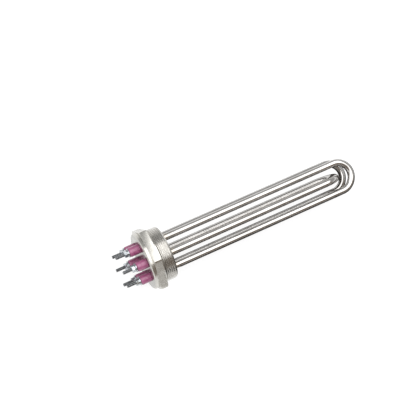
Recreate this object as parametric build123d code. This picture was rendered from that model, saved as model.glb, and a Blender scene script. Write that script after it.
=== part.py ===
from build123d import *
import os
from math import cos, radians, sin, tan

# Screw-plug immersion heater: three U-bent sheathed elements brazed into a hexagon plug.
# The plug's axis is the X axis, with the tubes towards +X and the terminals towards -X.
# The origin is on that axis at the sealing shoulder, and one hexagon flat faces +Z.
# All sizes are in millimetres and all angles in degrees.

# Plug: pipe thread G 2, hexagon and round collar
thread_major_d = 59.614
thread_pitch = 2.309
thread_depth = 1.479
thread_flank_angle = 27.5
thread_crest_flat = 0.40
thread_root_sink = 0.2
thread_lead_chamfer = 1.6
relief_width = 2.0
shank_length = 15.0
hex_across_flats = 65.0
hex_width = 8.4
hex_chamfer_depth = 0.8
hex_chamfer_angle = 30.0
collar_d = 64.0
collar_width = 4.2
collar_chamfer = 1.2

# Circle that the six tube legs and their terminals stand on, with angles from +Z towards -Y
leg_circle_d = 37.2
leg_angles = [-30, 30, 90, 150, 210, 270]

# The three elements: the angles of their two legs, and how far their bends reach
near_leg_angles = (-30, 90)
near_reach = 244.0
far_leg_angles = (150, 270)
far_reach = 240.5
cross_leg_angles = (30, 210)
cross_reach = 227.5

# Element section: outer tube, wire coil and the packing between them
sheath_d = 8.0
sheath_wall = 0.7
braze_gap = 0.05
braze_leg = 0.9
packing_gap = 0.02
coil_d = 3.4
coil_wire_d = 0.5
cold_length = 40.0
seal_length = 4.0

# Terminal pins, with their M4 thread left plain
stud_d = 4.0
stud_reach = 40.2
stud_chamfer = 0.5
pin_d = 2.8
pin_tip_length = 6.0

# Ceramic insulators
insulator_d = 10.6
insulator_length = 12.3
insulator_round = 2.0
insulator_clearance = 0.2
spigot_length = 3.0
spigot_clearance = 0.15

# Washers and nut of one terminal
washer_d = 10.0
washer_thickness = 1.0
washer_clearance = 0.15
spring_washer_d = 7.6
spring_washer_thickness = 1.1
spring_washer_slot = 0.7
spring_washer_slot_lean = 20.0
nut_across_flats = 7.0
nut_height = 3.2
nut_chamfer_depth = 0.3
nut_chamfer_angle = 30.0
nut_clearance = 0.03
nut_turn_step = 17.0

# Radii and places that follow from the sizes above
thread_r = thread_major_d / 2
root_r = thread_r - thread_depth
leg_circle_r = leg_circle_d / 2
sheath_r = sheath_d / 2
bore_r = sheath_r - sheath_wall
packing_r = bore_r - packing_gap
coil_r = coil_d / 2
coil_core_r = coil_r - coil_wire_d
pin_r = pin_d / 2
stud_r = stud_d / 2
terminal_face_x = -hex_width - collar_width
spigot_end_x = terminal_face_x + spigot_length
seal_end_x = spigot_end_x + seal_length
coil_start_x = shank_length + cold_length
pin_end_x = coil_start_x + pin_tip_length
insulator_end_x = terminal_face_x - insulator_length
washer_end_x = insulator_end_x - washer_thickness
spring_washer_end_x = washer_end_x - spring_washer_thickness
nut_end_x = spring_washer_end_x - nut_height


def leg_point(x, angle):
    """Point on a leg's centre line."""
    turn = radians(angle)
    return Vector(x, -leg_circle_r * sin(turn), leg_circle_r * cos(turn))


def across_leg(x, angle):
    """Plane square to the plug's axis, centred on one leg."""
    return Plane(origin=leg_point(x, angle), x_dir=(0, 1, 0), z_dir=(1, 0, 0))


def turned(outline):
    """Body turned about the plug's axis, from (x, radius) points, with a face for each stretch."""
    return revolve(make_face(Plane.XZ * Polyline(*outline, close=True)), Axis.X, clean=False)


def turned_on_leg(angle, outline):
    """Body turned about one leg, from (x, radius) points."""
    return Pos(leg_point(0, angle)) * turned(outline)


def on_every_leg(make):
    """Six separate solids, one for each leg."""
    return Compound(children=[make(angle) for angle in leg_angles])


def hexagon_envelope(start_x, end_x, corner_r, depth, angle):
    """Turned body whose conical ends take the corners off a hexagon."""
    face_r = corner_r - depth / tan(radians(angle))
    return turned([
        (start_x, 0), (start_x, face_r), (start_x + depth, corner_r),
        (end_x - depth, corner_r), (end_x, face_r), (end_x, 0),
    ])


# Screw plug
def thread_ridge():
    """Right-handed helical ridge, from the relief groove to the lead-in chamfer."""
    flank = tan(radians(thread_flank_angle))
    low_r = root_r - thread_root_sink
    high_r = thread_r + thread_root_sink
    low_half = thread_crest_flat / 2 + (thread_depth + thread_root_sink) * flank
    high_half = thread_crest_flat / 2 - thread_root_sink * flank
    section = [(low_r, -low_half), (high_r, -high_half), (high_r, high_half), (low_r, low_half)]
    height = shank_length + 2 * thread_pitch
    edges = [
        (Pos(0, 0, shift - thread_pitch) * Helix(thread_pitch, height, radius)).edge()
        for radius, shift in section
    ]
    faces = [Face.make_surface_from_curves(edges[i], edges[(i + 1) % 4]) for i in range(4)]
    faces += [Face(Wire.make_polygon([edge @ end for edge in edges])) for end in (0, 1)]
    ridge = Rot(0, 90, 0) * Solid(Shell(faces))
    envelope = turned([
        (relief_width, 0), (relief_width, root_r - thread_root_sink),
        (relief_width + thread_depth + thread_root_sink, thread_r),
        (shank_length - thread_lead_chamfer, thread_r),
        (shank_length, thread_r - thread_lead_chamfer), (shank_length, 0),
    ])
    return ridge & envelope


def screw_plug():
    """Threaded shank, hexagon and collar in one piece, drilled for the six legs."""
    lead_r = thread_r - thread_lead_chamfer
    shank = turned([
        (0, 0), (0, root_r), (shank_length - (root_r - lead_r), root_r),
        (shank_length, lead_r), (shank_length, 0),
    ])
    corner_r = hex_across_flats / 2 / cos(radians(30))
    outline = RegularPolygon(hex_across_flats / 2, 6, major_radius=False)
    hexagon = extrude(Plane.YZ.offset(-hex_width) * outline, hex_width)
    hexagon &= hexagon_envelope(-hex_width, 0, corner_r, hex_chamfer_depth, hex_chamfer_angle)
    collar_r = collar_d / 2
    collar = turned([
        (terminal_face_x, 0), (terminal_face_x, collar_r - collar_chamfer),
        (terminal_face_x + collar_chamfer, collar_r), (-hex_width, collar_r), (-hex_width, 0),
    ])
    plug = shank + thread_ridge() + hexagon + collar
    for angle in leg_angles:
        hole = across_leg(terminal_face_x, angle) * Circle(sheath_r + braze_gap)
        plug -= extrude(hole, shank_length - terminal_face_x)
    return plug


# Sheathed elements
def u_path(legs, start_x, reach):
    """Centre line of a hairpin: out along one leg, half round, and back along the other."""
    first_angle, second_angle = legs
    bend_r = (leg_point(0, first_angle) - leg_point(0, second_angle)).length / 2
    bend_x = reach - sheath_r - bend_r
    middle = (leg_point(bend_x, first_angle) + leg_point(bend_x, second_angle)) / 2
    out_leg = Line(leg_point(start_x, first_angle), leg_point(bend_x, first_angle))
    bend = ThreePointArc(out_leg @ 1, middle + Vector(bend_r, 0, 0), leg_point(bend_x, second_angle))
    back_leg = Line(bend @ 1, leg_point(start_x, second_angle))
    return Wire([out_leg, bend, back_leg])


def u_bar(legs, start_x, reach, radius):
    """Round bar bent into a hairpin."""
    return sweep(across_leg(start_x, legs[0]) * Circle(radius), path=u_path(legs, start_x, reach))


def sheath(legs, reach):
    """Drawn tube, open at both ends on the terminal face."""
    tube = u_bar(legs, terminal_face_x, reach, sheath_r)
    return tube - u_bar(legs, terminal_face_x, reach, bore_r)


def coil(legs, reach):
    """Closely wound resistance wire as a sleeve, pushed over the tips of its two pins."""
    sleeve = u_bar(legs, coil_start_x, reach, coil_r)
    return sleeve - u_bar(legs, coil_start_x, reach, coil_core_r)


def magnesia(legs, reach):
    """Packed powder round the pins and the coil, and a core of it inside the coil."""
    packing = u_bar(legs, seal_end_x, reach, packing_r)
    packing -= u_bar(legs, coil_start_x, reach, coil_r + packing_gap)
    for angle in legs:
        channel = across_leg(seal_end_x, angle) * Circle(pin_r + packing_gap)
        packing -= extrude(channel, coil_start_x - seal_end_x)
    core = u_bar(legs, pin_end_x, reach, coil_core_r - packing_gap)
    return Compound(children=[packing.solid(), core.solid()])


def braze_ring(angle):
    """Fillet of braze round one leg on the wet face."""
    return turned_on_leg(angle, [
        (shank_length, sheath_r), (shank_length + braze_leg, sheath_r),
        (shank_length, sheath_r + braze_leg),
    ])


# Terminals
def terminal_pin(angle):
    """Stud with a bare end beyond its nut, thinner cold pin inside, and a tip that the coil grips."""
    tip_r = coil_core_r - packing_gap
    return turned_on_leg(angle, [
        (-stud_reach, 0), (-stud_reach, stud_r - stud_chamfer), (-stud_reach + stud_chamfer, stud_r),
        (nut_end_x, stud_r), (spigot_end_x, stud_r), (spigot_end_x, pin_r), (coil_start_x, pin_r),
        (coil_start_x, tip_r), (pin_end_x, tip_r), (pin_end_x, 0),
    ])


def end_seal(angle):
    """Silicone plug that keeps moisture out of the powder."""
    return turned_on_leg(angle, [
        (spigot_end_x, pin_r + packing_gap), (spigot_end_x, packing_r),
        (seal_end_x, packing_r), (seal_end_x, pin_r + packing_gap),
    ])


def insulator(angle):
    """Ceramic bush with a rounded outer end and a spigot inside the tube."""
    body_r = insulator_d / 2
    spigot_r = bore_r - spigot_clearance
    hole_r = stud_r + insulator_clearance
    base_x = terminal_face_x
    blank = turned_on_leg(angle, [
        (insulator_end_x, hole_r), (insulator_end_x, body_r), (base_x, body_r), (base_x, spigot_r), (spigot_end_x, spigot_r), (spigot_end_x, hole_r),
    ])
    outer_rim = blank.edges().filter_by(GeomType.CIRCLE).group_by(Axis.X)[0].sort_by(SortBy.RADIUS)[-1]
    return fillet(outer_rim, insulator_round)


def flat_washer(angle):
    """Plain washer on the insulator's end."""
    hole_r = stud_r + washer_clearance
    return turned_on_leg(angle, [
        (washer_end_x, hole_r), (washer_end_x, washer_d / 2),
        (insulator_end_x, washer_d / 2), (insulator_end_x, hole_r),
    ])


def spring_washer(angle):
    """Split washer, pressed flat, with a leaning slot."""
    hole_r = stud_r + washer_clearance
    ring = turned_on_leg(angle, [
        (spring_washer_end_x, hole_r), (spring_washer_end_x, spring_washer_d / 2),
        (washer_end_x, spring_washer_d / 2), (washer_end_x, hole_r),
    ])
    centre = leg_point(washer_end_x - spring_washer_thickness / 2, angle)
    slot = Box(3 * spring_washer_thickness, spring_washer_slot, spring_washer_d)
    place = Pos(centre) * Rot(angle, 0, 0) * Pos(0, 0, spring_washer_d / 2)
    return ring - place * Rot(0, 0, spring_washer_slot_lean) * slot


def terminal_nut(angle):
    """Hexagon nut, chamfered at both ends, with its thread left plain."""
    corner_r = nut_across_flats / 2 / cos(radians(30))
    turn = leg_angles.index(angle) * nut_turn_step
    outline = Rot(0, 0, turn) * RegularPolygon(nut_across_flats / 2, 6, major_radius=False)
    nut = extrude(across_leg(nut_end_x, angle) * outline, nut_height)
    cones = hexagon_envelope(
        nut_end_x, spring_washer_end_x, corner_r, nut_chamfer_depth, nut_chamfer_angle
    )
    nut &= Pos(leg_point(0, angle)) * cones
    return nut - extrude(across_leg(nut_end_x, angle) * Circle(stud_r + nut_clearance), nut_height)


# All nodes by name
nodes = {"screw_plug": screw_plug()}
elements = {
    "near": (near_leg_angles, near_reach),
    "far": (far_leg_angles, far_reach),
    "cross": (cross_leg_angles, cross_reach),
}
for name, (legs, reach) in elements.items():
    nodes[f"{name}_sheath"] = sheath(legs, reach)
    nodes[f"{name}_magnesia"] = magnesia(legs, reach)
    nodes[f"{name}_coil"] = coil(legs, reach)
for number, angle in enumerate(leg_angles, start=1):
    nodes[f"terminal_pin_{number}"] = terminal_pin(angle)
    nodes[f"end_seal_{number}"] = end_seal(angle)
    nodes[f"insulator_{number}"] = insulator(angle)
nodes["braze_rings"] = on_every_leg(braze_ring)
nodes["flat_washers"] = on_every_leg(flat_washer)
nodes["spring_washers"] = on_every_leg(spring_washer)
nodes["terminal_nuts"] = on_every_leg(terminal_nut)

os.makedirs("parts", exist_ok=True)
for name, shape in nodes.items():
    export_step(shape, f"parts/{name}.step")
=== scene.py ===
"""Looks of a screw-plug immersion heater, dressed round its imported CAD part.

Everything is in metres in the part's own frame: the plug's axis is X, the tubes point to +X, the
terminals to -X, and the origin lies on the axis at the sealing shoulder. Sizes in the classes are
written in millimetres, as on a drawing, and turned to metres where a mesh is made.
"""

import logging
import math
from dataclasses import dataclass
from enum import Enum
from typing import Callable, ClassVar, Sequence

import bmesh
import bpy
from mathutils import Matrix, Quaternion, Vector


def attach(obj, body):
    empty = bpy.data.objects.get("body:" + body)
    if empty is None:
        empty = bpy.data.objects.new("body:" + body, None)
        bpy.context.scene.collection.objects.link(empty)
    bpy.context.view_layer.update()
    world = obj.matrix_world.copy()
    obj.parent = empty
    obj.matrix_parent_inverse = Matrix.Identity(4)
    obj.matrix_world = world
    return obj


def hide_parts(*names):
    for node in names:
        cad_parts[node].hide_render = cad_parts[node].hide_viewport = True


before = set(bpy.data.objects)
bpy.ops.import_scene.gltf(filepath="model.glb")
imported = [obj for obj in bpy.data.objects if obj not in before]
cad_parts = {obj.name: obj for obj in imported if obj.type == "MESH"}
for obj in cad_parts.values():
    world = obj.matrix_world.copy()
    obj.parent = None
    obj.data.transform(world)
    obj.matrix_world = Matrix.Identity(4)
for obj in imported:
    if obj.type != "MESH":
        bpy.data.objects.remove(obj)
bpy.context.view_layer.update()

MM = 0.001
ROOT_BODY = "root"

# Sizes that several pieces share, in millimetres, and leg angles from +Z towards -Y
LEG_CIRCLE_D = 37.2
LEG_ANGLES = (-30, 30, 90, 150, 210, 270)
SHANK_LENGTH = 15.0
HEX_WIDTH = 8.4
COLLAR_WIDTH = 4.2
SHEATH_D = 8.0
SHEATH_WALL = 0.7
STUD_D = 4.0
SPIGOT_LENGTH = 3.0
INSULATOR_LENGTH = 12.3
WASHER_THICKNESS = 1.0
SPRING_WASHER_THICKNESS = 1.1
NUT_HEIGHT = 3.2

# Places along the axis that follow from them
TERMINAL_FACE_X = -HEX_WIDTH - COLLAR_WIDTH
SPIGOT_END_X = TERMINAL_FACE_X + SPIGOT_LENGTH
INSULATOR_END_X = TERMINAL_FACE_X - INSULATOR_LENGTH
WASHER_END_X = INSULATOR_END_X - WASHER_THICKNESS
SPRING_END_X = WASHER_END_X - SPRING_WASHER_THICKNESS
NUT_END_X = SPRING_END_X - NUT_HEIGHT

# Edges gentler than this angle are shaded soft
SMOOTH_ANGLE = math.radians(32)

# Points nearer than this are made one, and points this near a cut lie on it, in metres
MERGE_DISTANCE = 1e-6
CUT_TOLERANCE = 1e-7

# An edge runs along the axis where its direction's X is over this
ALONG_AXIS = 0.9

# Mesh attribute that holds each point's place on the straight tube
DRAWN_TUBE = "drawn_tube"

# Sockets of a colour Mix node, which have to be named by number
MIX_SHARE, MIX_FIRST, MIX_SECOND, MIX_RESULT = 0, 6, 7, 2

# Part of its 0 to 1 range that a noise pattern mostly fills
NOISE_LOW, NOISE_HIGH = 0.3, 0.7

log = logging.getLogger("heater")


class Slot(Enum):
    """Material slots of the record, one for each finish."""

    PLUG = "plug_stainless"
    SHEATH = "sheath_stainless"
    MAGNESIA = "magnesia"
    WIRE = "resistance_wire"
    STUD = "stud_steel"
    SILICONE = "silicone"
    ALUMINA = "pink_alumina"
    ZINC = "zinc_plated_steel"
    BRAZE = "silver_braze"


class Ends(Enum):
    """How a turned outline is closed."""

    CAPPED = "flat caps at both ends"
    RING = "last ring joined to the first"


class Pick(Enum):
    """Kind of element that a test selects in edit mode."""

    CORNERS = "VERT"
    EDGES = "EDGE"


class Work(Enum):
    """What one body does to another."""

    WELD = "UNION"
    CUT = "DIFFERENCE"
    TRIM = "INTERSECT"


def leg_place(angle: float) -> Vector:
    """Centre of a leg on the leg circle, in metres.

    Args:
        angle: Leg angle in degrees, from +Z towards -Y.

    Returns:
        The point on the leg's axis in the plane x = 0.
    """
    turn = math.radians(angle)
    radius = LEG_CIRCLE_D / 2 * MM
    return Vector((0, -radius * math.sin(turn), radius * math.cos(turn)))


def linear(hex_colour: str) -> tuple[float, float, float, float]:
    """Turn an sRGB hex colour to linear light.

    Args:
        hex_colour: Colour as "#RRGGBB".

    Returns:
        Red, green, blue and alpha for a shader socket.
    """
    parts = [int(hex_colour[i:i + 2], 16) / 255 for i in (1, 3, 5)]
    light = [c / 12.92 if c <= 0.04045 else ((c + 0.055) / 1.055) ** 2.4 for c in parts]
    return (light[0], light[1], light[2], 1.0)


class Bench:
    """One mesh under work, shaped with Blender's own tools along the X axis."""

    def __init__(self, obj: bpy.types.Object, name: str) -> None:
        """Take a new primitive and put its place in its mesh.

        Args:
            obj: The object that a primitive operator has just added.
            name: Name of the piece and of its mesh.
        """
        self.obj = obj
        obj.name = obj.data.name = name
        bpy.ops.object.transform_apply(location=True, rotation=True, scale=True)

    @staticmethod
    def clear() -> None:
        """Leave edit mode and deselect everything."""
        if bpy.context.object and bpy.context.object.mode != "OBJECT":
            bpy.ops.object.mode_set(mode="OBJECT")
        bpy.ops.object.select_all(action="DESELECT")

    @classmethod
    def ring(cls, name: str, x: float, radius: float, sides: int,
             centre: Vector | None = None) -> "Bench":
        """Start from a circle that stands across the X axis.

        Args:
            name: Name of the piece.
            x: Place along the axis in millimetres.
            radius: Radius in millimetres.
            sides: Number of corners.
            centre: Centre in the plane x = 0, in metres, or None for the axis.

        Returns:
            The bench with the new circle on it.
        """
        cls.clear()
        place = (centre or Vector()) + Vector((x * MM, 0, 0))
        bpy.ops.mesh.primitive_circle_add(
            vertices=sides, radius=radius * MM, location=place, rotation=(0, math.pi / 2, 0)
        )
        return cls(bpy.context.object, name)

    @classmethod
    def bar(cls, name: str, start_x: float, end_x: float, radius: float, sides: int,
            centre: Vector | None = None) -> "Bench":
        """Start from a round or many-sided bar along the X axis.

        Args:
            name: Name of the piece.
            start_x: Lower end in millimetres.
            end_x: Upper end in millimetres.
            radius: Radius to the corners in millimetres.
            sides: Number of sides.
            centre: Centre in the plane x = 0, in metres, or None for the axis.

        Returns:
            The bench with the new bar on it.
        """
        cls.clear()
        place = (centre or Vector()) + Vector(((start_x + end_x) / 2 * MM, 0, 0))
        bpy.ops.mesh.primitive_cylinder_add(
            vertices=sides, radius=radius * MM, depth=(end_x - start_x) * MM, location=place,
            rotation=(0, math.pi / 2, 0),
        )
        return cls(bpy.context.object, name)

    @classmethod
    def turned(cls, name: str, outline: Sequence[tuple[float, float]], sides: int,
               ends: Ends) -> "Bench":
        """Turn a body on the axis: a circle is drawn out from station to station.

        Args:
            name: Name of the piece.
            outline: Stations as (x, radius) in millimetres, in order along the surface.
            sides: Number of sides.
            ends: How the outline is closed.

        Returns:
            The bench with the turned body on it, its faces pointing outwards.
        """
        made = cls.ring(name, *outline[0], sides)
        made.edit()
        bpy.ops.mesh.select_all(action="SELECT")
        for (x0, r0), (x1, r1) in zip(outline, outline[1:]):
            bpy.ops.mesh.extrude_edges_move(TRANSFORM_OT_translate={"value": ((x1 - x0) * MM, 0, 0)})
            bpy.ops.transform.resize(value=(1, r1 / r0, r1 / r0), center_override=(x1 * MM, 0, 0))
        made.close(ends)
        made.outwards()
        return made

    def close(self, ends: Ends) -> None:
        """Cap both open rims, or bridge one to the other.

        Args:
            ends: Which of the two is done.
        """
        bpy.ops.mesh.select_all(action="DESELECT")
        bpy.ops.mesh.select_non_manifold(
            extend=False, use_boundary=True, use_wire=False, use_multi_face=False,
            use_non_contiguous=False, use_verts=False,
        )
        if ends is Ends.RING:
            bpy.ops.mesh.bridge_edge_loops()
        else:
            bpy.ops.mesh.edge_face_add()

    def take(self) -> None:
        """Select this piece alone and make it the active one."""
        self.clear()
        self.obj.select_set(True)
        bpy.context.view_layer.objects.active = self.obj

    def edit(self) -> None:
        """Enter edit mode on this piece alone, with its corners to select."""
        self.take()
        bpy.ops.object.mode_set(mode="EDIT")
        bpy.ops.mesh.select_mode(type="VERT")

    def apply(self, modifier: bpy.types.Modifier) -> None:
        """Apply one of this piece's modifiers."""
        self.take()
        bpy.ops.object.modifier_apply(modifier=modifier.name)

    def pick(self, kind: Pick, test: Callable[[Vector, Vector], bool]) -> None:
        """Select the corners or edges whose place and direction pass a test, and nothing else.

        Args:
            kind: Which elements are tested.
            test: Takes an element's centre in millimetres, and its normal or an edge's direction.
        """
        bpy.ops.mesh.select_all(action="DESELECT")
        bpy.ops.mesh.select_mode(type=kind.value)
        grid = bmesh.from_edit_mesh(self.obj.data)
        if kind is Pick.CORNERS:
            found = [(corner, corner.co, corner.normal) for corner in grid.verts]
        else:
            found = [(edge, (edge.verts[0].co + edge.verts[1].co) / 2,
                      (edge.verts[1].co - edge.verts[0].co).normalized()) for edge in grid.edges]
        for item, centre, way in found:
            if test(centre / MM, way):
                item.select_set(True)
        grid.select_flush_mode()
        bmesh.update_edit_mesh(self.obj.data)

    def round_corners(self, width: float) -> None:
        """Round the corners of a many-sided bar, which are its edges along the axis.

        Args:
            width: Width of the rounding in millimetres.
        """
        self.edit()
        self.pick(Pick.EDGES, lambda centre, way: abs(way.x) > ALONG_AXIS)
        bpy.ops.mesh.bevel(offset=width * MM, segments=2, affect="EDGES", profile=0.5)
        bpy.ops.object.mode_set(mode="OBJECT")

    def outwards(self) -> None:
        """Merge doubles, turn every face outwards and leave edit mode."""
        bpy.ops.mesh.select_mode(type="VERT")
        bpy.ops.mesh.select_all(action="SELECT")
        bpy.ops.mesh.remove_doubles(threshold=MERGE_DISTANCE)
        bpy.ops.mesh.normals_make_consistent(inside=False)
        bpy.ops.object.mode_set(mode="OBJECT")

    def cut(self, start_x: float, end_x: float) -> None:
        """Cut the body square at both ends and fill the cuts.

        Args:
            start_x: Lower cut in millimetres.
            end_x: Upper cut in millimetres.
        """
        self.edit()
        for x, way in ((start_x, -1), (end_x, 1)):
            bpy.ops.mesh.select_all(action="SELECT")
            bpy.ops.mesh.bisect(plane_co=(x * MM, 0, 0), plane_no=(way, 0, 0), use_fill=True,
                                clear_outer=True, threshold=CUT_TOLERANCE)
        self.outwards()

    def combine(self, other: "Bench", work: Work) -> None:
        """Weld, cut or trim this body with another one, which is used up.

        Args:
            other: The tool body.
            work: What it does to this one.
        """
        modifier = self.obj.modifiers.new("combine", "BOOLEAN")
        modifier.operation = work.value
        modifier.solver = "EXACT"
        modifier.object = other.obj
        self.apply(modifier)
        bpy.data.objects.remove(other.obj)

    def wound(self, pitch: float, turns: int, steps: int) -> None:
        """Wind the profile round the X axis as a right-handed thread.

        Args:
            pitch: Advance of one turn in millimetres.
            turns: Number of turns.
            steps: Steps in one turn.
        """
        modifier = self.obj.modifiers.new("thread", "SCREW")
        modifier.axis = "X"
        modifier.angle = math.tau
        modifier.screw_offset = pitch * MM
        modifier.iterations = turns
        modifier.steps = modifier.render_steps = steps
        modifier.use_merge_vertices = True
        modifier.merge_threshold = MERGE_DISTANCE
        self.apply(modifier)

    def copy(self, name: str, move: Vector, turn: float = 0.0) -> bpy.types.Object:
        """Copy the finished piece with a mesh of its own.

        Args:
            name: Name of the copy.
            move: How far the copy is shifted, in metres.
            turn: Turn about the X axis before the shift, in radians.

        Returns:
            The new object, at the origin with its place in its mesh.
        """
        self.clear()
        twin = self.obj.copy()
        twin.data = self.obj.data.copy()
        twin.name = twin.data.name = name
        twin.data.transform(Matrix.Translation(move) @ Matrix.Rotation(turn, 4, "X"))
        bpy.context.scene.collection.objects.link(twin)
        return twin

    def smooth(self) -> None:
        """Shade soft across gentle edges and keep the sharp ones."""
        self.take()
        bpy.ops.object.shade_smooth_by_angle(angle=SMOOTH_ANGLE)

    def discard(self) -> None:
        """Take the pattern piece away once its copies are made."""
        self.clear()
        bpy.data.objects.remove(self.obj)


def node(tree: bpy.types.NodeTree, kind: str,
         links: dict[str | int, bpy.types.NodeSocket] | None = None,
         inputs: dict[str | int, object] | None = None,
         into: bpy.types.NodeSocket | None = None, output: int = 0,
         **settings: object) -> bpy.types.Node:
    """Add one shader node with its settings, values and links.

    Args:
        tree: The node tree.
        kind: Blender's name of the node.
        links: Input name or number to the output socket that feeds it.
        inputs: Input name or number to a plain value.
        into: Input socket of another node that the new node feeds, or None.
        output: Number of the new node's output that feeds it.
        settings: Properties of the node.

    Returns:
        The new node.
    """
    made = tree.nodes.new(kind)
    for key, value in settings.items():
        setattr(made, key, value)
    for key, value in (inputs or {}).items():
        made.inputs[key].default_value = value
    for key, socket in (links or {}).items():
        tree.links.new(socket, made.inputs[key])
    if into is not None:
        tree.links.new(made.outputs[output], into)
    return made


@dataclass(frozen=True)
class Finish:
    """Common base of all finishes: name, colour and gloss of one surface."""

    metallic: ClassVar[float] = 0.0

    name: str
    colour: str
    roughness: float

    def material(self) -> bpy.types.Material:
        """Build the procedural material once.

        Returns:
            The material, new or built before.
        """
        known = bpy.data.materials.get(self.name)
        if known:
            return known
        made = bpy.data.materials.new(self.name)
        made.use_nodes = True
        tree = made.node_tree
        tree.nodes.clear()
        shader = node(tree, "ShaderNodeBsdfPrincipled", inputs={
            "Base Color": linear(self.colour), "Roughness": self.roughness,
            "Metallic": self.metallic,
        })
        node(tree, "ShaderNodeOutputMaterial", {"Surface": shader.outputs[0]})
        self.detail(tree, shader)
        made.diffuse_color = linear(self.colour)
        return made

    def detail(self, tree: bpy.types.NodeTree, shader: bpy.types.Node) -> None:
        """Add what is particular to a finish."""
        raise NotImplementedError


@dataclass(frozen=True)
class DrawnStainless(Finish):
    """Stainless steel tube, drawn and then belt-polished along its length.

    It gives the eye hard-edged streaks that run with the tube, faintly broken by long fine lines.
    The real polishing lines are about 0.05 mm wide, too fine to show, so they are drawn coarser.
    """

    metallic: ClassVar[float] = 1.0

    line_width: float = 0.35
    line_length: float = 40.0
    line_depth: float = 0.01
    line_strength: float = 0.08
    drift: float = 22.2
    gloss_swing: tuple[float, float] = (-0.03, 0.05)
    shade: str = "#B7B5B2"
    straw: str = "#BFA878"
    straw_reach: float = 7.0
    straw_share: float = 0.3

    def detail(self, tree: bpy.types.NodeTree, shader: bpy.types.Node) -> None:
        """Long lines on the unbent tube, slow drifts of tone, and a straw tint left by the brazing.

        Args:
            tree: The node tree.
            shader: The surface shader that the patterns feed.
        """
        along = node(tree, "ShaderNodeAttribute", attribute_name=DRAWN_TUBE).outputs["Vector"]
        across = 1 / (self.line_width * MM)
        lines = node(tree, "ShaderNodeVectorMath", {0: along},
                     {1: (1 / (self.line_length * MM), across, across)}, operation="MULTIPLY")
        grain = node(tree, "ShaderNodeTexNoise", {"Vector": lines.outputs[0]},
                     {"Scale": 1.0, "Detail": 2.0, "Roughness": 0.6})
        node(tree, "ShaderNodeMapRange", {"Value": grain.outputs[0]},
             {"From Min": NOISE_LOW, "From Max": NOISE_HIGH,
              "To Min": self.roughness + self.gloss_swing[0],
              "To Max": self.roughness + self.gloss_swing[1]},
             into=shader.inputs["Roughness"])
        node(tree, "ShaderNodeBump", {"Height": grain.outputs[0]},
             {"Strength": self.line_strength, "Distance": self.line_depth * MM},
             into=shader.inputs["Normal"])
        clouds = node(tree, "ShaderNodeTexNoise", {"Vector": along},
                      {"Scale": 1 / (self.drift * MM), "Detail": 3.0})
        share = node(tree, "ShaderNodeMapRange", {"Value": clouds.outputs[0]},
                     {"From Min": NOISE_LOW, "From Max": NOISE_HIGH})
        tone = node(tree, "ShaderNodeMix", {MIX_SHARE: share.outputs[0]},
                    {MIX_FIRST: linear(self.colour), MIX_SECOND: linear(self.shade)},
                    data_type="RGBA")
        place = node(tree, "ShaderNodeTexCoord").outputs["Object"]
        parts = node(tree, "ShaderNodeSeparateXYZ", {0: place})
        heat = node(tree, "ShaderNodeMapRange", {"Value": parts.outputs["X"]},
                    {"From Min": SHANK_LENGTH * MM,
                     "From Max": (SHANK_LENGTH + self.straw_reach) * MM,
                     "To Min": self.straw_share, "To Max": 0.0})
        node(tree, "ShaderNodeMix",
             {MIX_SHARE: heat.outputs[0], MIX_FIRST: tone.outputs[MIX_RESULT]},
             {MIX_SECOND: linear(self.straw)},
             into=shader.inputs["Base Color"], output=MIX_RESULT, data_type="RGBA")


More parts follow.
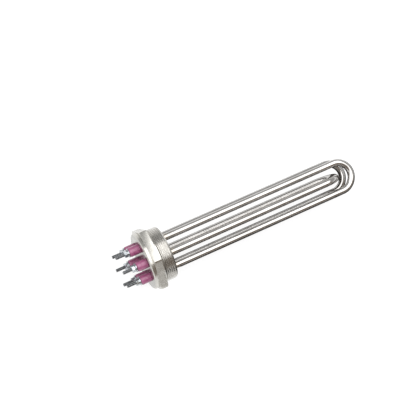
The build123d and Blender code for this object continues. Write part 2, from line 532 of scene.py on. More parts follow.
@dataclass(frozen=True)
class TurnedStainless(Finish):
    """Stainless steel bar, turned on a lathe and left satin.

    Fine rings follow the axis and blur every reflection across them, so a highlight is soft and
    warm. A lathe feeds about 0.15 mm a turn, too fine to show, so the rings are drawn coarser.
    """

    metallic: ClassVar[float] = 1.0

    feed: float = 0.5
    ring_depth: float = 0.02
    ring_strength: float = 0.5
    mottle: float = 6.25
    gloss_swing: tuple[float, float] = (-0.03, 0.05)
    dulling: float = 0.12
    # Painted shade: the terminal face takes this darker colour
    face: str = "#B4B3AE"
    face_skin: float = 0.02
    face_fade: float = 0.3
    # Painted light: the thread takes this lighter colour, which brightens its highlight
    thread: str = "#D4D2CE"
    thread_fade: float = 1.0

    def detail(self, tree: bpy.types.NodeTree, shader: bpy.types.Node) -> None:
        """Rings at the lathe's feed, painted shade on the terminal face, which is given a darker colour,
        and painted light on the thread, which is given a lighter colour.

        Args:
            tree: The node tree.
            shader: The surface shader that the patterns feed.
        """
        place = node(tree, "ShaderNodeTexCoord").outputs["Object"]
        parts = node(tree, "ShaderNodeSeparateXYZ", {0: place})
        flat = node(tree, "ShaderNodeCombineXYZ", {"Y": parts.outputs["Y"], "Z": parts.outputs["Z"]})
        radius = node(tree, "ShaderNodeVectorMath", {0: flat.outputs[0]}, operation="LENGTH")
        travel = node(tree, "ShaderNodeMath",
                      {0: parts.outputs["X"], 1: radius.outputs["Value"]}, operation="ADD")
        rings = node(tree, "ShaderNodeTexNoise", {"W": travel.outputs[0]},
                     {"Scale": 1 / (self.feed * MM), "Detail": 2.0, "Roughness": 0.7},
                     noise_dimensions="1D")
        node(tree, "ShaderNodeBump", {"Height": rings.outputs[0]},
             {"Strength": self.ring_strength, "Distance": self.ring_depth * MM},
             into=shader.inputs["Normal"])
        mottle = node(tree, "ShaderNodeTexNoise", {"Vector": place},
                      {"Scale": 1 / (self.mottle * MM), "Detail": 5.0})
        node(tree, "ShaderNodeMapRange", {"Value": mottle.outputs[0]},
             {"From Min": NOISE_LOW, "From Max": NOISE_HIGH,
              "To Min": self.roughness + self.gloss_swing[0],
              "To Max": self.roughness + self.gloss_swing[1]},
             into=shader.inputs["Roughness"])
        # Painted shade: the colour turns darker at the terminal face
        face_shade_share = node(tree, "ShaderNodeMapRange", {"Value": parts.outputs["X"]},
                      {"From Min": (TERMINAL_FACE_X + self.face_skin) * MM,
                       "From Max": (TERMINAL_FACE_X + self.face_fade) * MM,
                       "To Min": 1.0, "To Max": 0.0})
        body = node(tree, "ShaderNodeMix", {MIX_SHARE: face_shade_share.outputs[0]},
                    {MIX_FIRST: linear(self.colour), MIX_SECOND: linear(self.face)},
                    data_type="RGBA")
        # Painted light: the colour turns lighter over the thread
        thread_light_share = node(tree, "ShaderNodeMapRange", {"Value": parts.outputs["X"]},
                       {"From Min": 0.0, "From Max": self.thread_fade * MM})
        whole = node(tree, "ShaderNodeMix",
                     {MIX_SHARE: thread_light_share.outputs[0], MIX_FIRST: body.outputs[MIX_RESULT]},
                     {MIX_SECOND: linear(self.thread)}, data_type="RGBA")
        dark = node(tree, "ShaderNodeMapRange", {"Value": mottle.outputs[0]},
                    {"From Min": NOISE_LOW, "From Max": NOISE_HIGH,
                     "To Min": 0.0, "To Max": self.dulling})
        node(tree, "ShaderNodeMix",
             {MIX_SHARE: dark.outputs[0], MIX_FIRST: whole.outputs[MIX_RESULT]},
             {MIX_SECOND: linear("#000000")},
             into=shader.inputs["Base Color"], output=MIX_RESULT, data_type="RGBA")


@dataclass(frozen=True)
class FiredAlumina(Finish):
    """Chrome-bearing alumina, pressed and fired, with a thin satin glaze.

    An even pink, slightly deeper where the powder packed tighter, with one soft sheen. The pressed
    grit is about 0.1 mm, too fine to show, so it is drawn coarser.
    """

    shade: str = "#8B4168"
    cloud: float = 3.33
    grit: float = 0.5
    grit_depth: float = 0.03
    grit_strength: float = 0.2
    ior: float = 1.6
    glaze: float = 0.6
    glaze_roughness: float = 0.18

    def detail(self, tree: bpy.types.NodeTree, shader: bpy.types.Node) -> None:
        """Cloudy colour and a fine grit under the glaze.

        Args:
            tree: The node tree.
            shader: The surface shader that the patterns feed.
        """
        shader.inputs["IOR"].default_value = self.ior
        shader.inputs["Coat Weight"].default_value = self.glaze
        shader.inputs["Coat Roughness"].default_value = self.glaze_roughness
        place = node(tree, "ShaderNodeTexCoord").outputs["Object"]
        cloud = node(tree, "ShaderNodeTexNoise", {"Vector": place},
                     {"Scale": 1 / (self.cloud * MM), "Detail": 4.0})
        share = node(tree, "ShaderNodeMapRange", {"Value": cloud.outputs[0]},
                     {"From Min": NOISE_LOW, "From Max": NOISE_HIGH})
        node(tree, "ShaderNodeMix", {MIX_SHARE: share.outputs[0]},
             {MIX_FIRST: linear(self.colour), MIX_SECOND: linear(self.shade)},
             into=shader.inputs["Base Color"], output=MIX_RESULT, data_type="RGBA")
        grit = node(tree, "ShaderNodeTexNoise", {"Vector": place},
                    {"Scale": 1 / (self.grit * MM), "Detail": 3.0})
        node(tree, "ShaderNodeBump", {"Height": grit.outputs[0]},
             {"Strength": self.grit_strength, "Distance": self.grit_depth * MM},
             into=shader.inputs["Normal"])


@dataclass(frozen=True)
class CloudedMetal(Finish):
    """Metal whose skin is uneven in tone, gloss and height at one scale."""

    metallic: ClassVar[float] = 1.0

    shade: str = "#9AA0A4"
    cloud: float = 1.6
    octaves: float = 4.0
    gloss_swing: tuple[float, float] = (-0.05, 0.1)
    depth: float = 0.02
    strength: float = 0.15

    def detail(self, tree: bpy.types.NodeTree, shader: bpy.types.Node) -> None:
        """One cloudy pattern in colour, gloss and surface.

        Args:
            tree: The node tree.
            shader: The surface shader that the patterns feed.
        """
        place = node(tree, "ShaderNodeTexCoord").outputs["Object"]
        cloud = node(tree, "ShaderNodeTexNoise", {"Vector": place},
                     {"Scale": 1 / (self.cloud * MM), "Detail": self.octaves})
        node(tree, "ShaderNodeMapRange", {"Value": cloud.outputs[0]},
             {"From Min": NOISE_LOW, "From Max": NOISE_HIGH,
              "To Min": self.roughness + self.gloss_swing[0],
              "To Max": self.roughness + self.gloss_swing[1]},
             into=shader.inputs["Roughness"])
        share = node(tree, "ShaderNodeMapRange", {"Value": cloud.outputs[0]},
                     {"From Min": NOISE_LOW, "From Max": NOISE_HIGH})
        node(tree, "ShaderNodeMix", {MIX_SHARE: share.outputs[0]},
             {MIX_FIRST: linear(self.colour), MIX_SECOND: linear(self.shade)},
             into=shader.inputs["Base Color"], output=MIX_RESULT, data_type="RGBA")
        node(tree, "ShaderNodeBump", {"Height": cloud.outputs[0]},
             {"Strength": self.strength, "Distance": self.depth * MM},
             into=shader.inputs["Normal"])


@dataclass(frozen=True)
class PlatedSteel(CloudedMetal):
    """Small steel hardware with a thin plated or rolled skin.

    Bright zinc looks cool and slightly cloudy. A rolled stud is darker and dull in its grooves.
    """


@dataclass(frozen=True)
class FlowedBraze(CloudedMetal):
    """Silver braze that ran round a joint and froze.

    A pale yellowish metal with a soft, rippled skin and patches dulled by flux.
    """

    shade: str = "#A2957C"
    cloud: float = 1.11
    octaves: float = 3.0
    gloss_swing: tuple[float, float] = (-0.05, 0.15)
    depth: float = 0.08
    strength: float = 0.3


@dataclass(frozen=True)
class PackedPowder(Finish):
    """Dull filling inside an element: pressed powder or cured sealant.

    Chalky and even, with a faint grain. The powder's grains are about 0.1 mm, too fine to show, so
    they are drawn coarser.
    """

    shade: str = "#D9D4C8"
    grain: float = 0.4
    grain_depth: float = 0.05
    grain_strength: float = 0.3

    def detail(self, tree: bpy.types.NodeTree, shader: bpy.types.Node) -> None:
        """Grain in colour and surface.

        Args:
            tree: The node tree.
            shader: The surface shader that the patterns feed.
        """
        place = node(tree, "ShaderNodeTexCoord").outputs["Object"]
        grain = node(tree, "ShaderNodeTexNoise", {"Vector": place},
                     {"Scale": 1 / (self.grain * MM), "Detail": 4.0})
        share = node(tree, "ShaderNodeMapRange", {"Value": grain.outputs[0]},
                     {"From Min": NOISE_LOW, "From Max": NOISE_HIGH})
        node(tree, "ShaderNodeMix", {MIX_SHARE: share.outputs[0]},
             {MIX_FIRST: linear(self.colour), MIX_SECOND: linear(self.shade)},
             into=shader.inputs["Base Color"], output=MIX_RESULT, data_type="RGBA")
        node(tree, "ShaderNodeBump", {"Height": grain.outputs[0]},
             {"Strength": self.grain_strength, "Distance": self.grain_depth * MM},
             into=shader.inputs["Normal"])


@dataclass(frozen=True)
class WoundWire(Finish):
    """Nickel-chromium wire wound turn by turn, seen as close ridges across the coil."""

    metallic: ClassVar[float] = 1.0
    # A band pattern repeats at this distance when its scale is 1
    wave_step: ClassVar[float] = math.tau / 20

    wire_d: float = 0.5
    ridge_strength: float = 0.6
    # Painted shade: the grooves between the turns take this darker colour
    shade: str = "#6E6A64"

    def detail(self, tree: bpy.types.NodeTree, shader: bpy.types.Node) -> None:
        """Ridges at the wire's own pitch along the coil, with painted shade in the grooves between them.

        Args:
            tree: The node tree.
            shader: The surface shader that the patterns feed.
        """
        place = node(tree, "ShaderNodeTexCoord").outputs["Object"]
        turns = node(tree, "ShaderNodeTexWave", {"Vector": place},
                     {"Scale": self.wave_step / (self.wire_d * MM), "Distortion": 0.0},
                     wave_type="BANDS", bands_direction="X", wave_profile="SIN")
        # Painted shade: the colour is darker where the bands are low, in the grooves
        node(tree, "ShaderNodeMix", {MIX_SHARE: turns.outputs["Fac"]},
             {MIX_FIRST: linear(self.shade), MIX_SECOND: linear(self.colour)},
             into=shader.inputs["Base Color"], output=MIX_RESULT, data_type="RGBA")
        node(tree, "ShaderNodeBump", {"Height": turns.outputs["Fac"]},
             {"Strength": self.ridge_strength, "Distance": self.wire_d / 2 * MM},
             into=shader.inputs["Normal"])


FINISHES: dict[Slot, Finish] = {
    # Satin turned stainless: a soft warm highlight that follows the lathe's rings.
    Slot.PLUG: TurnedStainless("stainless_turned_satin", "#C9C7C1", 0.25),
    # Polished drawn stainless: crisp light and dark streaks along every leg.
    Slot.SHEATH: DrawnStainless("stainless_drawn_polished", "#D3D1CF", 0.12),
    # Fired alumina with chrome oxide: a cloudy pink under a satin sheen.
    Slot.ALUMINA: FiredAlumina("chrome_alumina_fired_satin", "#A65B82", 0.38),
    # Rolled and oiled steel: dark grey with a dull light line on its crests.
    Slot.STUD: PlatedSteel("steel_rolled_oiled", "#A6A8AA", 0.30, shade="#6A6C6E"),
    # Zinc-plated steel: a bright, cool and slightly cloudy sparkle on the small hardware.
    Slot.ZINC: PlatedSteel("steel_zinc_plated_bright", "#CCD0D3", 0.18),
    # Silver braze: a thin pale gold ring at the foot of each leg.
    Slot.BRAZE: FlowedBraze("silver_braze_flowed", "#C9BEA6", 0.28),
    # Compacted magnesia: chalky white, seen only where an element is cut open.
    Slot.MAGNESIA: PackedPowder("magnesia_compacted", "#ECE8DF", 0.85),
    # Cured silicone: a rubbery off-white plug in each tube's mouth.
    Slot.SILICONE: PackedPowder("silicone_cured", "#D8D2C6", 0.5, shade="#C9C2B4"),
    # Wound nickel-chromium wire: close dull ridges across the coil, with painted shade between them.
    Slot.WIRE: WoundWire("nickel_chromium_wound", "#A39C92", 0.35),
}


def dress(obj: bpy.types.Object, slot: Slot, node_name: str) -> None:
    """Give a finished piece the material of its slot and its body, and hide the CAD node that it
    replaces.

    Args:
        obj: The piece.
        slot: The record's material slot.
        node_name: CAD node that it replaces, alone or with its like.
    """
    obj.data.materials.clear()
    obj.data.materials.append(FINISHES[slot].material())
    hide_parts(node_name)
    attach(obj, ROOT_BODY)
    log.info("%s: %d faces, %s", obj.name, len(obj.data.polygons), slot.value)


def arc(centre_x: float, centre_r: float, radius: float, start: float, end: float,
        steps: int) -> list[tuple[float, float]]:
    """Stations along an arc of a turned outline.

    Args:
        centre_x: Centre along the axis in millimetres.
        centre_r: Centre's distance from the axis in millimetres.
        radius: Radius of the arc in millimetres.
        start: First angle in degrees, from +X towards the outside.
        end: Last angle in degrees.
        steps: Number of steps.

    Returns:
        The stations as (x, radius).
    """
    turns = [math.radians(start + (end - start) * step / steps) for step in range(steps + 1)]
    return [(centre_x + radius * math.cos(turn), centre_r + radius * math.sin(turn)) for turn in turns]


def thread_profile(pitch: float, major_r: float, depth: float, crest: float,
                   root: float) -> list[tuple[float, float]]:
    """One pitch of a thread, from root centre to root centre, with blunted corners.

    Args:
        pitch: Advance of one turn in millimetres.
        major_r: Radius of the crest in millimetres.
        depth: Depth of the thread in millimetres.
        crest: Width of the crest in millimetres.
        root: Width of the root in millimetres.

    Returns:
        The stations as (x, radius).
    """
    # Share of each flank, and of the depth, that a blunted corner takes
    blunt = 0.12
    low, high, rise = major_r - depth, major_r, blunt * depth
    flank = (pitch - crest - root) / 2
    ease, lap = blunt * flank, blunt * flank / 2
    foot, head = root / 2, root / 2 + flank
    return [
        (0.0, low), (foot - lap, low), (foot + ease, low + rise),
        (head - ease, high - rise), (head + lap, high),
        (head + crest - lap, high), (head + crest + ease, high - rise),
        (pitch - foot - ease, low + rise), (pitch - foot + lap, low), (pitch, low),
    ]


def threaded_rod(name: str, start_x: float, end_x: float, profile: Sequence[tuple[float, float]],
                 steps: int) -> Bench:
    """Rod with a real helical thread, cut square at both ends.

    Args:
        name: Name of the piece.
        start_x: Lower end in millimetres.
        end_x: Upper end in millimetres.
        profile: One pitch of the thread as (x, radius).
        steps: Steps in one turn.

    Returns:
        The bench with the closed rod on it.
    """
    pitch = profile[-1][0] - profile[0][0]
    # The helix starts before the lower cut and runs past the upper one, so both cuts are whole
    lead_in, spare_turns = 1.5 * pitch, 3
    corner = Vector((-0.5, -0.5, 0))
    stations = [Vector((start_x - lead_in + x, 0, radius)) for x, radius in profile]
    Bench.clear()
    bpy.ops.mesh.primitive_plane_add(size=MM)
    rod = Bench(bpy.context.object, name)
    rod.edit()
    bpy.ops.mesh.delete(type="ONLY_FACE")
    rod.pick(Pick.CORNERS, lambda centre, way: not (centre.x < 0 and centre.y < 0))
    bpy.ops.mesh.delete(type="VERT")
    bpy.ops.mesh.select_all(action="SELECT")
    bpy.ops.transform.translate(value=(stations[0] - corner) * MM)
    for here, there in zip(stations, stations[1:]):
        bpy.ops.mesh.extrude_vertices_move(TRANSFORM_OT_translate={"value": (there - here) * MM})
    bpy.ops.object.mode_set(mode="OBJECT")
    rod.wound(pitch, math.ceil((end_x - start_x) / pitch) + spare_turns, steps)
    rod.cut(start_x, end_x)
    return rod


@dataclass
class ScrewPlug:
    """Threaded shank, hexagon and collar in one turned piece, drilled for six legs."""

    thread_major_d: float = 59.614
    thread_pitch: float = 2.309
    thread_depth: float = 1.479
    thread_crest: float = 0.40
    flank_angle: float = 27.5
    lead_chamfer: float = 1.6
    relief_width: float = 2.0
    hex_across_flats: float = 65.0
    hex_chamfer: float = 0.8
    hex_chamfer_angle: float = 30.0
    hex_corner_round: float = 0.35
    hex_edge_soft: float = 0.12
    collar_d: float = 64.0
    collar_chamfer: float = 1.2
    collar_soft: float = 0.2
    collar_sunk: float = 0.4
    hole_clearance: float = 0.05
    drill_over: float = 1.0
    drill_sides: int = 48
    sides: int = 144

    def shank(self) -> Bench:
        """Pipe thread, trimmed by its relief groove and its lead-in chamfer.

        Returns:
            The bench with the threaded shank on it.
        """
        major_r = self.thread_major_d / 2
        root_r, lead_r = major_r - self.thread_depth, major_r - self.lead_chamfer
        flank = self.thread_depth * math.tan(math.radians(self.flank_angle))
        root = self.thread_pitch - self.thread_crest - 2 * flank
        profile = thread_profile(self.thread_pitch, major_r, self.thread_depth, self.thread_crest, root)
        rod = threaded_rod("threaded_plug", 0.0, SHANK_LENGTH, profile, self.sides)
        # The envelope stands clear of the crests, and past both cuts, so that no faces coincide
        over, before, past, rim = 0.05, 1.0, 0.001, 0.3
        envelope = Bench.turned("envelope", [
            (-before, root_r), (self.relief_width, root_r),
            (self.relief_width + self.thread_depth, major_r + over),
            (SHANK_LENGTH - self.lead_chamfer - over, major_r + over), (SHANK_LENGTH, lead_r),
            (SHANK_LENGTH + past, lead_r - rim),
        ], self.sides, Ends.CAPPED)
        rod.combine(envelope, Work.TRIM)
        return rod

    def hexagon(self) -> Bench:
        """Hexagon with its corners taken off by a cone at each end.

        Returns:
            The bench with the hexagon on it.
        """
        corner_r = self.hex_across_flats / 2 / math.cos(math.pi / 6)
        block = Bench.bar("hexagon", -HEX_WIDTH, 0.0, corner_r, 6)
        block.round_corners(self.hex_corner_round)
        face_r = corner_r - self.hex_chamfer / math.tan(math.radians(self.hex_chamfer_angle))
        soft = self.hex_edge_soft
        cones = Bench.turned("cones", [
            (-HEX_WIDTH, face_r - soft), (-HEX_WIDTH + soft / 2, face_r + soft / 2),
            (-HEX_WIDTH + self.hex_chamfer, corner_r), (-self.hex_chamfer, corner_r),
            (-soft / 2, face_r + soft / 2), (0.0, face_r - soft),
        ], self.sides, Ends.CAPPED)
        block.combine(cones, Work.TRIM)
        return block

    def collar(self) -> Bench:
        """Round collar that the terminals stand on, with a softened rim.

        Returns:
            The bench with the collar on it, sunk a little into the hexagon.
        """
        radius, chamfer, soft = self.collar_d / 2, self.collar_chamfer, self.collar_soft
        near, far = soft * 0.3, soft * 0.4
        return Bench.turned("collar", [
            (TERMINAL_FACE_X, radius - chamfer - soft), (TERMINAL_FACE_X + far, radius - chamfer + near),
            (TERMINAL_FACE_X + chamfer - near, radius - far), (TERMINAL_FACE_X + chamfer + soft, radius),
            (-HEX_WIDTH + self.collar_sunk, radius),
        ], self.sides, Ends.CAPPED)

    def build(self) -> None:
        """Join the three turned forms, drill them and dress the result."""
        plug = self.shank()
        plug.combine(self.hexagon(), Work.WELD)
        plug.combine(self.collar(), Work.WELD)
        for angle in LEG_ANGLES:
            drill = Bench.bar("drill", TERMINAL_FACE_X - self.drill_over, SHANK_LENGTH + self.drill_over,
                              SHEATH_D / 2 + self.hole_clearance, self.drill_sides, leg_place(angle))
            plug.combine(drill, Work.CUT)
        plug.edit()
        plug.outwards()
        plug.smooth()
        dress(plug.obj, Slot.PLUG, "screw_plug")


@dataclass
class HairpinTube:
    """Drawn tube bent to a hairpin, open at both ends on the terminal face."""

    name: str
    angles: tuple[int, int]
    reach: float
    node_name: str
    sides: int = 40
    bend_steps: int = 40

    def build(self) -> None:
        """Draw the tube out along one leg, round the bend and back, then give it its wall."""
        first, second = leg_place(self.angles[0]), leg_place(self.angles[1])
        across = second - first
        bend_r = across.length / 2
        bend_x = (self.reach - SHEATH_D / 2) * MM - bend_r
        run = bend_x - TERMINAL_FACE_X * MM
        middle = (first + second) / 2 + Vector((bend_x, 0, 0))
        tube = Bench.ring(self.name, TERMINAL_FACE_X, SHEATH_D / 2, self.sides, first)
        tube.edit()
        bpy.ops.mesh.select_all(action="SELECT")
        bpy.ops.mesh.extrude_edges_move(TRANSFORM_OT_translate={"value": (run, 0, 0)})
        bpy.ops.mesh.spin(steps=self.bend_steps, angle=math.pi, center=middle,
                          axis=across.cross(Vector((1, 0, 0))).normalized())
        bpy.ops.mesh.extrude_edges_move(TRANSFORM_OT_translate={"value": (-run, 0, 0)})
        tube.outwards()
        self.wall(tube)
        self.unbend(tube.obj, first, second, bend_x)
        tube.smooth()
        dress(tube.obj, Slot.SHEATH, self.node_name)

    def wall(self, tube: Bench) -> None:
        """Give the skin its wall, inwards.

        Args:
            tube: The bench with the bent skin on it.
        """
        modifier = tube.obj.modifiers.new("wall", "SOLIDIFY")
        modifier.thickness = SHEATH_WALL * MM
        modifier.offset = -1.0
        modifier.use_even_offset = True
        tube.apply(modifier)

    def unbend(self, obj: bpy.types.Object, first: Vector, second: Vector, bend_x: float) -> None:
        """Store where each point lay on the straight tube, for the lines of the drawing.

        Args:
            obj: The tube.
            first: Axis point of the outgoing leg.
            second: Axis point of the returning leg.
            bend_x: Where the bend starts, in metres.
        """
        way = (second - first).normalized()
        normal = way.cross(Vector((1, 0, 0))).normalized()
        bend_r = (second - first).length / 2
        middle = (first + second) / 2 + Vector((bend_x, 0, 0))
        run = bend_x - TERMINAL_FACE_X * MM
        store = obj.data.attributes.new(DRAWN_TUBE, "FLOAT_VECTOR", "POINT")
        for vertex, value in zip(obj.data.vertices, store.data):
            offset = vertex.co - middle
            side = offset.dot(way)
            if offset.x <= 0:
                out = abs(side) - bend_r
                length = run + offset.x if side < 0 else run + math.pi * bend_r - offset.x
            else:
                out = math.hypot(offset.x, side) - bend_r
                length = run + bend_r * math.atan2(offset.x, -side)
            value.vector = (length, out, offset.dot(normal))


@dataclass
class Terminal:
    """Everything that one leg carries outside the plug, modelled once and copied to six legs."""

    insulator_d: float = 10.6
    insulator_round: float = 2.0
    insulator_edge: float = 0.35
    insulator_hole_r: float = 2.2
    spigot_r: float = 3.15
    stud_reach: float = 40.2
    stud_sides: int = 28
    thread_pitch: float = 0.7
    thread_depth: float = 0.40
    thread_chamfer: float = 0.5
    pin_d: float = 2.8
    pin_tip_d: float = 2.36
    pin_shoulder_x: float = 55.0
    pin_end_x: float = 61.0
    washer_d: float = 10.0
    washer_hole_r: float = 2.15
    washer_edge: float = 0.12
    spring_washer_d: float = 7.6
    spring_slot: float = 0.7
    spring_steps: int = 48
    nut_across_flats: float = 7.0
    nut_chamfer: float = 0.3
    nut_chamfer_angle: float = 30.0
    nut_corner_round: float = 0.08
    nut_hole_r: float = 2.03
    nut_sink: float = 0.3
    nut_turn_step: float = 17.0
    braze_leg: float = 0.9
    sides: int = 56

    def insulator(self) -> Bench:
        """Ceramic bush with a rounded outer end and a spigot inside the tube.

        Returns:
            The bench with the bush on it.
        """
        body_r, hole_r, spigot_r = self.insulator_d / 2, self.insulator_hole_r, self.spigot_r
        big, small = self.insulator_round, self.insulator_edge
        return Bench.turned("insulator_pattern", [
            *arc(INSULATOR_END_X + small, hole_r + small, small, 270, 180, 3),
            *arc(INSULATOR_END_X + big, body_r - big, big, 180, 90, 10),
            *arc(TERMINAL_FACE_X - small, body_r - small, small, 90, 0, 3),
            (TERMINAL_FACE_X, spigot_r + small), (TERMINAL_FACE_X + small, spigot_r),
            (SPIGOT_END_X, spigot_r), (SPIGOT_END_X, hole_r),
        ], self.sides, Ends.RING)

    def stud(self) -> Bench:
        """Stud with a rolled thread outside and the cold pin inside the tube.

        Returns:
            The bench with the stud and its pin on it.
        """
        stud_r, reach, depth = STUD_D / 2, self.stud_reach, self.thread_depth
        crest, root = self.thread_pitch / 8, self.thread_pitch / 4
        profile = thread_profile(self.thread_pitch, stud_r, depth, crest, root)
        rod = threaded_rod("stud_pattern", -reach, INSULATOR_END_X, profile, self.stud_sides)
        # The envelope stands clear of the crests, and past the rod's inner end
        over, past = 0.05, 1.0
        envelope = Bench.turned("envelope", [
            (-reach, stud_r - self.thread_chamfer), (-reach + self.thread_chamfer + over, stud_r + over),
            (INSULATOR_END_X + past, stud_r + over),
        ], self.sides, Ends.CAPPED)
        rod.combine(envelope, Work.TRIM)
        # The thread runs out on a short cone that starts just inside its last turn
        pin_r, tip_r, inside, run_out = self.pin_d / 2, self.pin_tip_d / 2, 0.1, 0.4
        shank = Bench.turned("shank", [
            (INSULATOR_END_X - inside, stud_r - depth / 2), (INSULATOR_END_X + run_out, stud_r),
            (SPIGOT_END_X, stud_r), (SPIGOT_END_X, pin_r), (self.pin_shoulder_x, pin_r),
            (self.pin_shoulder_x, tip_r), (self.pin_end_x, tip_r),
        ], self.stud_sides, Ends.CAPPED)
        rod.combine(shank, Work.WELD)
        rod.edit()
        rod.outwards()
        return rod

    def flat_washer(self) -> Bench:
        """Punched washer, with its rims rolled over a little.

        Returns:
            The bench with the flat washer on it.
        """
        outer, inner = self.washer_d / 2, self.washer_hole_r
        edge, roll = self.washer_edge, self.washer_edge * 2
        return Bench.turned("flat_washer_pattern", [
            (WASHER_END_X, inner), *arc(WASHER_END_X + roll, outer - roll, roll, 180, 90, 4),
            (INSULATOR_END_X - edge, outer), (INSULATOR_END_X, outer - edge), (INSULATOR_END_X, inner),
        ], self.sides, Ends.RING)

    def spring_washer(self) -> Bench:
        """Split washer: its section is spun round the axis, and the slot stays open.

        Returns:
            The bench with the split washer on it.
        """
        outer, inner = self.spring_washer_d / 2, self.washer_hole_r
        middle_r = (outer + inner) / 2
        middle = Vector(((WASHER_END_X + SPRING_END_X) / 2, 0, middle_r)) * MM
        size = Matrix.Diagonal((SPRING_WASHER_THICKNESS * MM, 1, (outer - inner) * MM, 1))
        Bench.clear()
        bpy.ops.mesh.primitive_plane_add(size=1.0, location=middle, rotation=(math.pi / 2, 0, 0))
        section = Bench(bpy.context.object, "spring_washer_pattern")
        section.obj.data.transform(Matrix.Translation(middle) @ size @ Matrix.Translation(-middle))
        gap = self.spring_slot / middle_r
        section.edit()
        bpy.ops.mesh.select_all(action="SELECT")
        bpy.ops.mesh.bevel(offset=self.washer_edge * MM, segments=2, affect="VERTICES")
        bpy.ops.mesh.select_all(action="SELECT")
        bpy.ops.mesh.spin(steps=self.spring_steps, angle=math.tau - gap, center=(0, 0, 0), axis=(1, 0, 0))
        section.outwards()
        section.obj.data.transform(Matrix.Rotation(gap / 2, 4, "X"))
        return section

    def nut(self) -> Bench:
        """Hexagon nut, chamfered at both ends, with its bore countersunk at the rims.

        Returns:
            The bench with the nut on it.
        """
        corner_r = self.nut_across_flats / 2 / math.cos(math.pi / 6)
        body = Bench.bar("nut_pattern", NUT_END_X, SPRING_END_X, corner_r, 6)
        body.round_corners(self.nut_corner_round)
        face_r = corner_r - self.nut_chamfer / math.tan(math.radians(self.nut_chamfer_angle))
        cones = Bench.turned("cones", [
            (NUT_END_X, face_r), (NUT_END_X + self.nut_chamfer, corner_r),
            (SPRING_END_X - self.nut_chamfer, corner_r), (SPRING_END_X, face_r),
        ], self.sides, Ends.CAPPED)
        body.combine(cones, Work.TRIM)
        hole_r, sink, past, reamer_sides = self.nut_hole_r, self.nut_sink, 0.2, 40
        reamer = Bench.turned("reamer", [
            (NUT_END_X - past, hole_r + sink + past), (NUT_END_X + sink, hole_r),
            (SPRING_END_X - sink, hole_r), (SPRING_END_X + past, hole_r + sink + past),
        ], reamer_sides, Ends.CAPPED)
        body.combine(reamer, Work.CUT)
        body.edit()
        body.outwards()
        return body

    def braze(self) -> Bench:
        """Concave fillet of braze round a leg on the wet face, without its thin feather edge.

        Returns:
            The bench with the fillet on it.
        """
        leg, tube_r = self.braze_leg, SHEATH_D / 2
        return Bench.turned("braze_pattern", [
            (SHANK_LENGTH, tube_r), *arc(SHANK_LENGTH + leg, tube_r + leg, leg, 270, 180, 6)[1:],
        ], self.sides, Ends.RING)

    def build(self) -> None:
        """Model each piece on the axis, then copy it to every leg."""
        insulator, stud, washer = self.insulator(), self.stud(), self.flat_washer()
        spring, nut, braze = self.spring_washer(), self.nut(), self.braze()
        patterns = (insulator, stud, washer, spring, nut, braze)
        for bench in patterns:
            bench.smooth()
        for number, angle in enumerate(LEG_ANGLES, start=1):
            place, turn = leg_place(angle), math.radians(angle)
            spin = math.radians((number - 1) * self.nut_turn_step)
            dress(insulator.copy(f"ceramic_bush_{number}", place), Slot.ALUMINA, f"insulator_{number}")
            dress(stud.copy(f"threaded_stud_{number}", place, turn), Slot.STUD, f"terminal_pin_{number}")
            dress(washer.copy(f"plain_washer_{number}", place, turn), Slot.ZINC, "flat_washers")
            dress(spring.copy(f"split_washer_{number}", place, turn), Slot.ZINC, "spring_washers")
            dress(nut.copy(f"hex_nut_{number}", place, spin), Slot.ZINC, "terminal_nuts")
            dress(braze.copy(f"braze_fillet_{number}", place, turn), Slot.BRAZE, "braze_rings")
        for bench in patterns:
            bench.discard()


class InnerBuild:
    """CAD nodes that stay as they are inside the tubes, with materials of their own."""

    SLOTS: ClassVar[dict[str, Slot]] = {
        "magnesia": Slot.MAGNESIA, "coil": Slot.WIRE, "end_seal": Slot.SILICONE,
    }

    def build(self) -> None:
        """Dress every hidden node by the word in its name."""
        for name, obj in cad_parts.items():
            for word, slot in self.SLOTS.items():
                if word in name:
                    obj.data.materials.clear()
                    obj.data.materials.append(FINISHES[slot].material())
                    log.info("%s: CAD node, %s", name, slot.value)


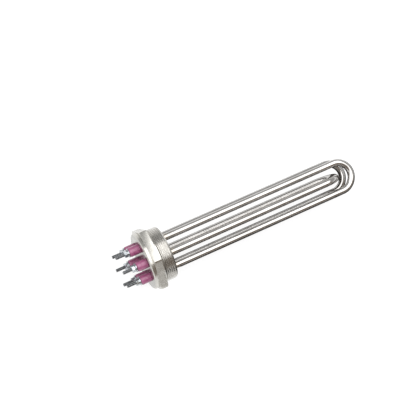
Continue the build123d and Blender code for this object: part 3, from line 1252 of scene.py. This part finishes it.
@dataclass
class Studio:
    """Floor, cards, lamp, world and camera of the picture, in metres and degrees."""

    azimuth: float = -31.15
    elevation: float = 63.14
    roll: float = 4.87
    lens: float = 115.2
    sensor_width: float = 36.0
    distance: float = 1.4054
    target: tuple[float, float, float] = (0.0759, 0.0396, 0.0)
    sight: tuple[float, float] = (0.05, 60.0)
    floor_z: float = -0.0326
    floor_size: float = 12.0
    floor_glow: float = 0.82
    floor_paint: str = "#8C8C8C"
    floor_roughness: float = 0.9
    # Painted shade and painted reflections: tones of the glowing sheets that only reflections see
    under_tubes_shade_tone: str = "#4E4B48"
    front_reflection_tone: str = "#9C9187"
    card_lift: float = 0.0002
    shade_sheet_under_tubes: tuple[tuple[float, float], tuple[float, float]] = ((0.028, -0.25), (0.8, 0.06))
    card_in_front: tuple[tuple[float, float], tuple[float, float]] = ((-1.0, -1.5), (1.2, -0.42))
    lamp_place: tuple[float, float, float] = (0.1, -0.24, 0.9)
    lamp_size: tuple[float, float] = (1.8, 1.24)
    lamp_glow: float = 1.9
    flag_low: tuple[float, float, float] = (-1.6, -1.5, -0.1)
    flag_high: tuple[float, float, float] = (2.4, -1.5, 1.75)
    flag_reflection_tone: str = "#8E8379"
    walls: float = 0.48
    horizon: tuple[float, float] = (0.14, 0.25)
    bright_end: tuple[float, float] = (-0.75, -0.35)

    def camera(self) -> None:
        """Camera at the photograph's viewing angle, turned a little about its own axis."""
        a, e = math.radians(self.azimuth), math.radians(self.elevation)
        back = Vector((math.sin(a) * math.cos(e), -math.cos(a) * math.cos(e), math.sin(e)))
        roll = Quaternion((0, 0, 1), math.radians(self.roll))
        data = bpy.data.cameras.new("camera")
        data.lens, data.sensor_width = self.lens, self.sensor_width
        data.clip_start, data.clip_end = self.sight
        camera = bpy.data.objects.new("camera", data)
        camera.rotation_mode = "QUATERNION"
        camera.rotation_quaternion = (-back).to_track_quat("-Z", "Y") @ roll
        camera.location = Vector(self.target) + back * self.distance
        bpy.context.scene.collection.objects.link(camera)
        bpy.context.scene.camera = camera

    def slab(self, name: str, low: tuple[float, float], high: tuple[float, float],
             lift: float) -> bpy.types.Object:
        """Level sheet under the hexagon's lowest flat.

        Args:
            name: Name of the sheet.
            low: Lowest x and y on the sheet, in metres.
            high: Highest x and y on the sheet, in metres.
            lift: How far it is raised, in metres.

        Returns:
            The staged sheet.
        """
        Bench.clear()
        bpy.ops.mesh.primitive_plane_add(size=1.0)
        sheet = Bench(bpy.context.object, name).obj
        sheet.data.transform(
            Matrix.Translation(((low[0] + high[0]) / 2, (low[1] + high[1]) / 2, self.floor_z + lift))
            @ Matrix.Diagonal((high[0] - low[0], high[1] - low[1], 1, 1))
        )
        return sheet

    def floor(self) -> None:
        """Pale floor that shows white and keeps a faint shadow."""
        half = self.floor_size / 2
        floor = self.slab("floor", (-half, -half), (half, half), 0.0)
        paint = bpy.data.materials.new("floor_matt_white")
        paint.use_nodes = True
        tree = paint.node_tree
        tree.nodes.clear()
        path = node(tree, "ShaderNodeLightPath")
        seen = node(tree, "ShaderNodeMath",
                    {0: path.outputs["Is Camera Ray"], 1: path.outputs["Is Glossy Ray"]},
                    operation="MAXIMUM")
        shown = node(tree, "ShaderNodeMath",
                     {0: seen.outputs[0], 1: path.outputs["Is Transmission Ray"]},
                     operation="MAXIMUM")
        glow = node(tree, "ShaderNodeMath", {0: shown.outputs[0]}, {1: self.floor_glow},
                    operation="MULTIPLY")
        shader = node(tree, "ShaderNodeBsdfPrincipled", {"Emission Strength": glow.outputs[0]},
                      {"Base Color": linear(self.floor_paint), "Roughness": self.floor_roughness,
                       "Emission Color": linear("#FFFFFF")})
        node(tree, "ShaderNodeOutputMaterial", {"Surface": shader.outputs[0]})
        floor.data.materials.append(paint)

    def card(self, obj: bpy.types.Object, tone: str) -> None:
        """Make a sheet glow in a flat tone that only reflections see: a painted reflection, dark where it
        stands for shade.

        Args:
            obj: The sheet.
            tone: Its colour.
        """
        reflection_paint = bpy.data.materials.new(f"{obj.name}_paper")
        reflection_paint.use_nodes = True
        tree = reflection_paint.node_tree
        tree.nodes.clear()
        glow = node(tree, "ShaderNodeEmission", inputs={"Color": linear(tone), "Strength": 1.0})
        node(tree, "ShaderNodeOutputMaterial", {"Surface": glow.outputs[0]})
        obj.data.materials.append(reflection_paint)
        obj.visible_camera = obj.visible_diffuse = obj.visible_shadow = False
        obj.visible_transmission = obj.visible_volume_scatter = False

    def cards(self) -> None:
        """Cards just above the floor and a flag in front, seen only in reflections, which paint dark
        reflections on the lower edges. The card under the tubes is painted shade of the floor beneath
        them.
        """
        # Painted shade: a dark sheet where the floor under the tubes lies in shade, seen only in
        # reflections
        self.card(self.slab("shade_sheet_under_tubes", *self.shade_sheet_under_tubes, self.card_lift), self.under_tubes_shade_tone)
        self.card(self.slab("card_in_front", *self.card_in_front, self.card_lift), self.front_reflection_tone)
        low, high = Vector(self.flag_low), Vector(self.flag_high)
        Bench.clear()
        bpy.ops.mesh.primitive_plane_add(size=1.0, rotation=(math.pi / 2, 0, 0))
        flag = Bench(bpy.context.object, "flag_in_front").obj
        flag.data.transform(Matrix.Translation((low + high) / 2)
                            @ Matrix.Diagonal((high.x - low.x, 1, high.z - low.z, 1)))
        self.card(flag, self.flag_reflection_tone)

    def lamp(self) -> None:
        """One broad soft box above the tubes, a little to their near side."""
        data = bpy.data.lights.new("soft_box", "AREA")
        data.shape = "RECTANGLE"
        data.size, data.size_y = self.lamp_size
        data.energy = self.lamp_glow * math.pi * self.lamp_size[0] * self.lamp_size[1]
        lamp = bpy.data.objects.new("soft_box", data)
        lamp.location = self.lamp_place
        bpy.context.scene.collection.objects.link(lamp)

    def world(self) -> None:
        """Studio walls: white along the horizon and at the terminals' end, mid grey above."""
        world = bpy.data.worlds.new("studio")
        bpy.context.scene.world = world
        world.use_nodes = True
        tree = world.node_tree
        tree.nodes.clear()
        way = node(tree, "ShaderNodeTexCoord").outputs["Generated"]
        parts = node(tree, "ShaderNodeSeparateXYZ", {0: way})
        wall = node(tree, "ShaderNodeMapRange", {"Value": parts.outputs["Z"]},
                    {"From Min": self.horizon[0], "From Max": self.horizon[1],
                     "To Min": 1.0, "To Max": self.walls}, interpolation_type="SMOOTHSTEP")
        end = node(tree, "ShaderNodeMapRange", {"Value": parts.outputs["X"]},
                   {"From Min": self.bright_end[0], "From Max": self.bright_end[1],
                    "To Min": 1.0, "To Max": 0.0}, interpolation_type="SMOOTHSTEP")
        level = node(tree, "ShaderNodeMath", {0: wall.outputs[0], 1: end.outputs[0]},
                     operation="MAXIMUM")
        back = node(tree, "ShaderNodeBackground", {"Strength": level.outputs[0]},
                    {"Color": linear("#FFFFFF")})
        node(tree, "ShaderNodeOutputWorld", {"Surface": back.outputs[0]})

    def build(self) -> None:
        """Set the stage."""
        bpy.context.scene.view_settings.view_transform = "Standard"
        self.camera()
        self.floor()
        self.cards()
        self.lamp()
        self.world()


def main() -> None:
    """Build the heater piece by piece, then the studio round it."""
    logging.basicConfig(level=logging.INFO, format="%(name)s: %(message)s")
    ScrewPlug().build()
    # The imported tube's facets end 0.04 mm short of its true 244 mm, and this one stays inside them
    HairpinTube("near_hairpin", (-30, 90), 243.96, "near_sheath").build()
    HairpinTube("far_hairpin", (150, 270), 240.5, "far_sheath").build()
    HairpinTube("cross_hairpin", (30, 210), 227.5, "cross_sheath").build()
    Terminal().build()
    InnerBuild().build()
    Studio().build()


if __name__ == "__main__":
    main()
